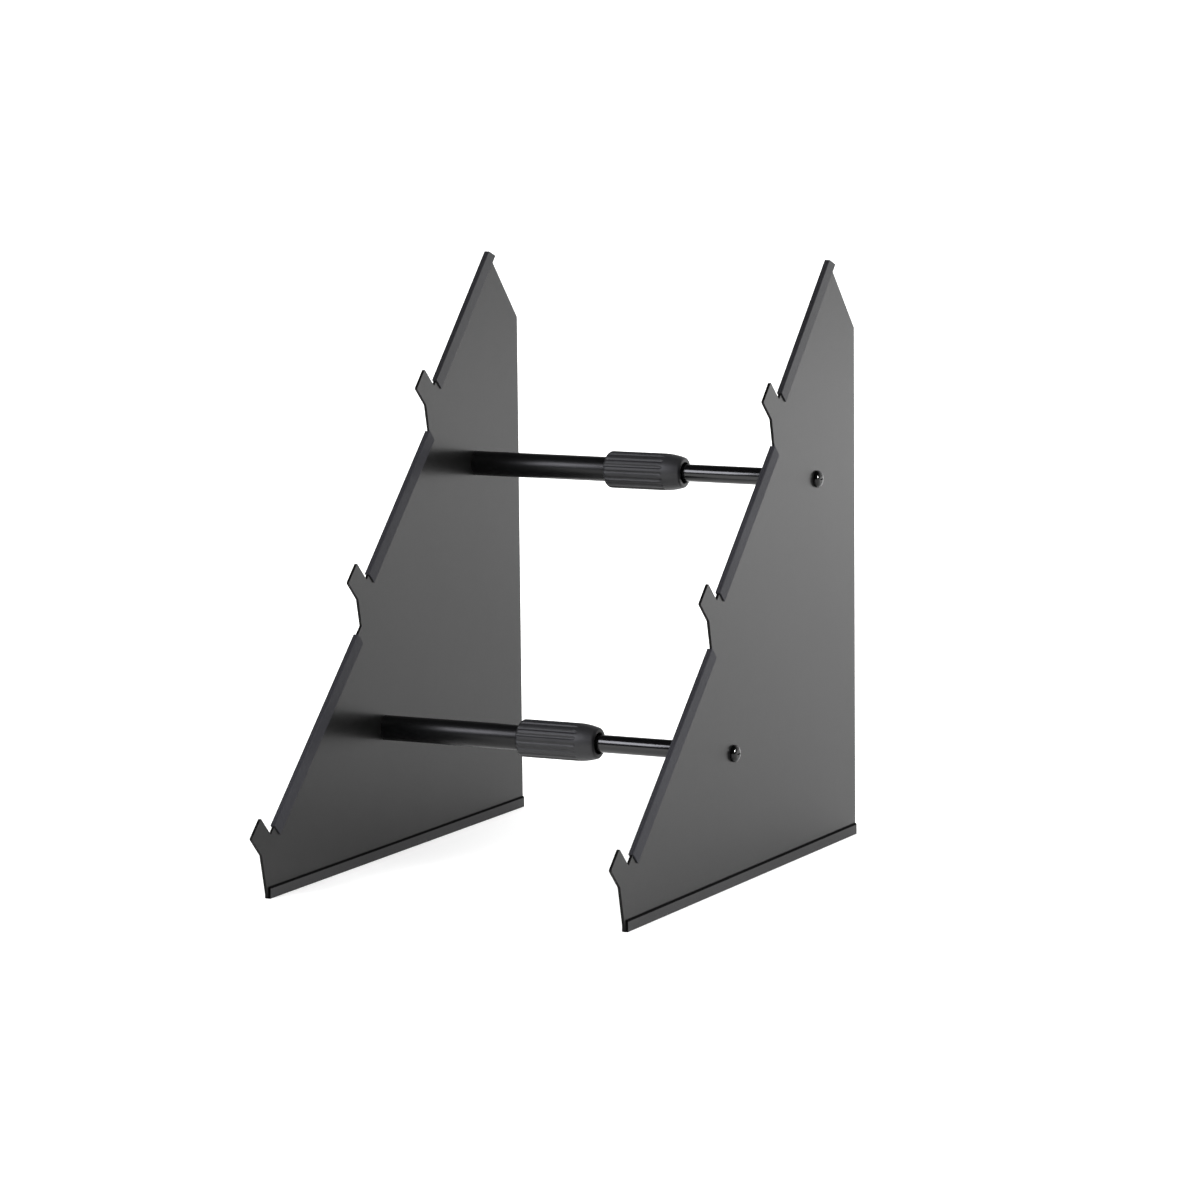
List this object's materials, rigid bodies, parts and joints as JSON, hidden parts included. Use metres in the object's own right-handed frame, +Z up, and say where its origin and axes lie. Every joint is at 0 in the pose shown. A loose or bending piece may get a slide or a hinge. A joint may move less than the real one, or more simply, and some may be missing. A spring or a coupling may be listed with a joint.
{
  "type": "three-tier desktop instrument stand",
  "caption": "Desktop stand with two hooked side plates on telescoping spreader tubes that holds electronic instruments in sloping tiers.",
  "frame": {"origin": "middle of the stand's overall box, on the table", "axes": "+X from the left plate to the right plate along the spreader tubes, -Y to the front where the hooks are, +Z up"},
  "size_m": [0.337, 0.4754, 0.502],
  "materials": {
    "plate_coat": "satin black powder coat on steel sheet",
    "tube_coat": "gloss black coat on steel tube",
    "screw_coat": "gloss black zinc plating",
    "trim_rubber": "ribbed black rubber, semi-matte",
    "channel_rubber": "smooth black rubber, matte",
    "grip_plastic": "fluted dark grey plastic, fine texture",
    "collet_plastic": "black nylon",
    "bush_plastic": "black nylon",
    "plug_plastic": "black nylon",
    "bushing_metal": "turned",
    "insert_brass": "turned"
  },
  "bodies": {
    "left_side": {"left_side_plate": "plate_coat", "left_lower_slope_trim": "trim_rubber", "left_middle_slope_trim": "trim_rubber", "left_upper_slope_trim": "trim_rubber", "left_base_channel": "channel_rubber", "lower_outer_tube": "tube_coat", "lower_clutch_bushing": "bushing_metal", "lower_clutch_collet": "collet_plastic", "lower_left_end_plug": "plug_plastic", "lower_left_threaded_insert": "insert_brass", "lower_left_plate_screw": "screw_coat", "upper_outer_tube": "tube_coat", "upper_clutch_bushing": "bushing_metal", "upper_clutch_collet": "collet_plastic", "upper_left_end_plug": "plug_plastic", "upper_left_threaded_insert": "insert_brass", "upper_left_plate_screw": "screw_coat"},
    "right_side": {"right_side_plate": "plate_coat", "right_lower_slope_trim": "trim_rubber", "right_middle_slope_trim": "trim_rubber", "right_upper_slope_trim": "trim_rubber", "right_base_channel": "channel_rubber", "lower_inner_tube": "tube_coat", "lower_guide_bush": "bush_plastic", "lower_right_end_plug": "plug_plastic", "lower_right_threaded_insert": "insert_brass", "lower_right_plate_screw": "screw_coat", "upper_inner_tube": "tube_coat", "upper_guide_bush": "bush_plastic", "upper_right_end_plug": "plug_plastic", "upper_right_threaded_insert": "insert_brass", "upper_right_plate_screw": "screw_coat"},
    "lower_clutch": {"lower_clutch_grip": "grip_plastic"},
    "upper_clutch": {"upper_clutch_grip": "grip_plastic"}
  },
  "joints": [
    {"name": "width_slide", "type": "slide", "parent": "left_side", "child": "right_side", "axis": [1, 0, 0], "range_m": [-0.116, 0.018]},
    {"name": "lower_clutch_twist", "type": "hinge", "parent": "left_side", "child": "lower_clutch", "pos_m": [0, -0.01083, 0.1104], "axis": [1, 0, 0], "range_deg": [0, 180]},
    {"name": "upper_clutch_twist", "type": "hinge", "parent": "left_side", "child": "upper_clutch", "pos_m": [0, 0.15817, 0.3186], "axis": [1, 0, 0], "range_deg": [0, 180]}
  ]
}
